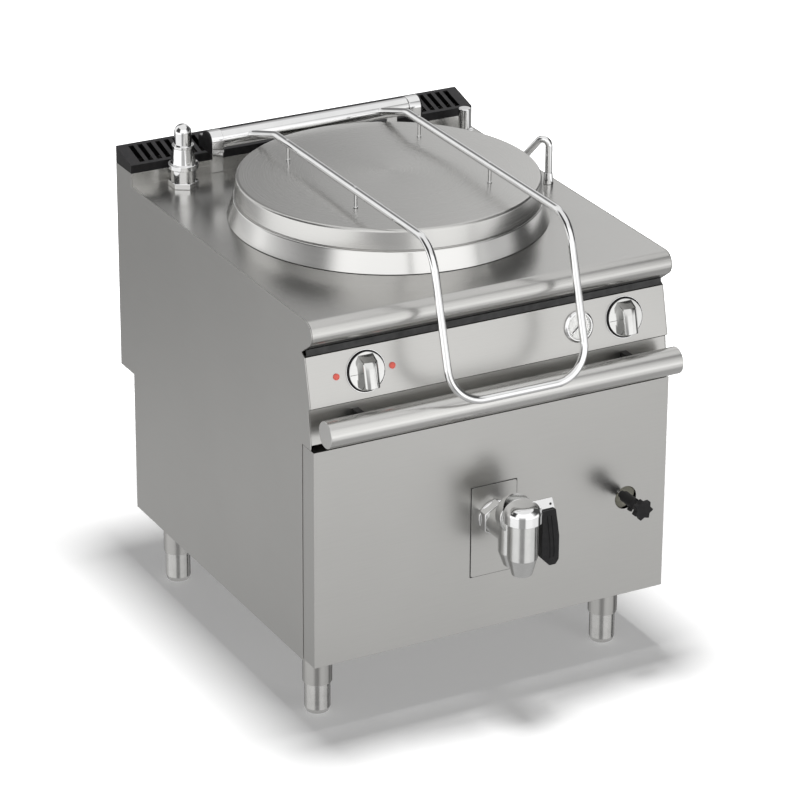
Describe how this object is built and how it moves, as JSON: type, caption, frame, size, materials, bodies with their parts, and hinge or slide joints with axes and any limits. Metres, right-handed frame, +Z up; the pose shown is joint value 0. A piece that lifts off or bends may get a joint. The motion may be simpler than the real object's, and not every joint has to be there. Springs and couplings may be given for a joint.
{
  "type": "steam jacketed kettle",
  "caption": "Free-standing cooking kettle: round steam-heated vessel in a square steel cabinet, with a hinged lid and bent tube handle, front rail, drain tap, knobs and gauge.",
  "frame": {"origin": "on the floor, under the middle of the outline", "axes": "+X to the right as seen from the front, +Y to the rear, +Z up"},
  "size_m": [0.8, 1.0541, 1.0055],
  "materials": {
    "brushed_steel": "brushed",
    "chrome": "polished",
    "black_plastic": "satin",
    "dark_metal": "satin",
    "red_lens": "gloss",
    "white_dial": "matte",
    "clear_glass": "clear",
    "glass_wool": "fibrous"
  },
  "bodies": {
    "cabinet": {"side_panel_left": "brushed_steel", "side_panel_right": "brushed_steel", "base_tray": "brushed_steel", "rear_panel_lower": "brushed_steel", "rear_panel_upper": "brushed_steel", "front_panel": "brushed_steel", "control_panel": "brushed_steel", "lower_fascia": "brushed_steel", "worktop": "brushed_steel", "kettle_collar": "brushed_steel", "front_rail": "brushed_steel", "rail_bracket_left": "brushed_steel", "rail_bracket_right": "brushed_steel", "vessel": "brushed_steel", "steam_jacket": "brushed_steel", "drain_pipe": "brushed_steel", "drain_plate": "brushed_steel", "steam_pipe": "brushed_steel", "filler_pipe": "brushed_steel", "water_pipe": "brushed_steel", "drain_nut": "chrome", "tap_body": "chrome", "level_pipe": "chrome", "gauge_case": "chrome", "hinge_bracket_left": "chrome", "hinge_bracket_right": "chrome", "safety_valve_body": "chrome", "filler_column": "chrome", "spout_base": "chrome", "flue_grille": "black_plastic", "level_cock_body": "black_plastic", "knob_left_switch": "black_plastic", "knob_right_switch": "black_plastic", "hinge_cap_left": "black_plastic", "hinge_cap_right": "black_plastic", "heater": "dark_metal", "knob_left_bezel": "dark_metal", "knob_right_bezel": "dark_metal", "lamp_left": "red_lens", "lamp_right": "red_lens", "gauge_dial": "white_dial", "gauge_glass": "clear_glass", "jacket_insulation": "glass_wool"},
    "lid": {"lid": "brushed_steel", "lid_handle": "chrome", "hinge_tube": "chrome"},
    "left_knob": {"knob_left": "chrome"},
    "right_knob": {"knob_right": "chrome"},
    "tap_head": {"tap_lever": "chrome", "tap_grip": "black_plastic", "tap_plug": "dark_metal"},
    "level_knob": {"level_cock_knob": "black_plastic"},
    "spout": {"spout": "chrome"},
    "needle": {"gauge_needle": "black_plastic"},
    "valve_cap": {"safety_valve_cap": "chrome"},
    "filler_cap": {"filler_cap": "chrome"},
    "foot_front_left": {"foot_front_left": "brushed_steel"},
    "foot_front_right": {"foot_front_right": "brushed_steel"},
    "foot_rear_left": {"foot_rear_left": "brushed_steel"},
    "foot_rear_right": {"foot_rear_right": "brushed_steel"}
  },
  "joints": [
    {"name": "lid_hinge", "type": "hinge", "parent": "cabinet", "child": "lid", "pos_m": [0, 0.41225, 0.958], "axis": [-1, 0, 0], "range_deg": [0, 88]},
    {"name": "left_knob_turn", "type": "hinge", "parent": "cabinet", "child": "left_knob", "pos_m": [-0.274, -0.34869, 0.745], "axis": [0, 0.974, -0.2267], "range_deg": [0, 270]},
    {"name": "right_knob_turn", "type": "hinge", "parent": "cabinet", "child": "right_knob", "pos_m": [0.3035, -0.34869, 0.745], "axis": [0, 0.974, -0.2267], "range_deg": [-90, 90]},
    {"name": "tap_turn", "type": "hinge", "parent": "cabinet", "child": "tap_head", "pos_m": [0, -0.48875, 0.424], "axis": [0, 0, -1], "range_deg": [0, 90]},
    {"name": "level_cock_turn", "type": "hinge", "parent": "cabinet", "child": "level_knob", "pos_m": [0.292, -0.45305, 0.3715], "axis": [0, -1, 0], "range_deg": [0, 360]},
    {"name": "spout_swivel", "type": "hinge", "parent": "cabinet", "child": "spout", "pos_m": [0.375, 0.08025, 0.8946], "axis": [0, 0, -1], "range_deg": [0, 150]},
    {"name": "gauge_needle_turn", "type": "hinge", "parent": "cabinet", "child": "needle", "pos_m": [0.199, -0.34869, 0.745], "axis": [0, 0.974, -0.2267], "range_deg": [0, 270]},
    {"name": "safety_valve_lift", "type": "slide", "parent": "cabinet", "child": "valve_cap", "axis": [0, 0, 1], "range_m": [0, 0.006]},
    {"name": "filler_cap_turn", "type": "hinge", "parent": "cabinet", "child": "filler_cap", "pos_m": [0.352, 0.39725, 0.8926], "axis": [0, 0, 1], "range_deg": [0, 90]},
    {"name": "foot_front_left_slide", "type": "slide", "parent": "cabinet", "child": "foot_front_left", "axis": [0, 0, -1], "range_m": [0, 0.05]},
    {"name": "foot_front_right_slide", "type": "slide", "parent": "cabinet", "child": "foot_front_right", "axis": [0, 0, -1], "range_m": [0, 0.05]},
    {"name": "foot_rear_left_slide", "type": "slide", "parent": "cabinet", "child": "foot_rear_left", "axis": [0, 0, -1], "range_m": [0, 0.05]},
    {"name": "foot_rear_right_slide", "type": "slide", "parent": "cabinet", "child": "foot_rear_right", "axis": [0, 0, -1], "range_m": [0, 0.05]}
  ]
}
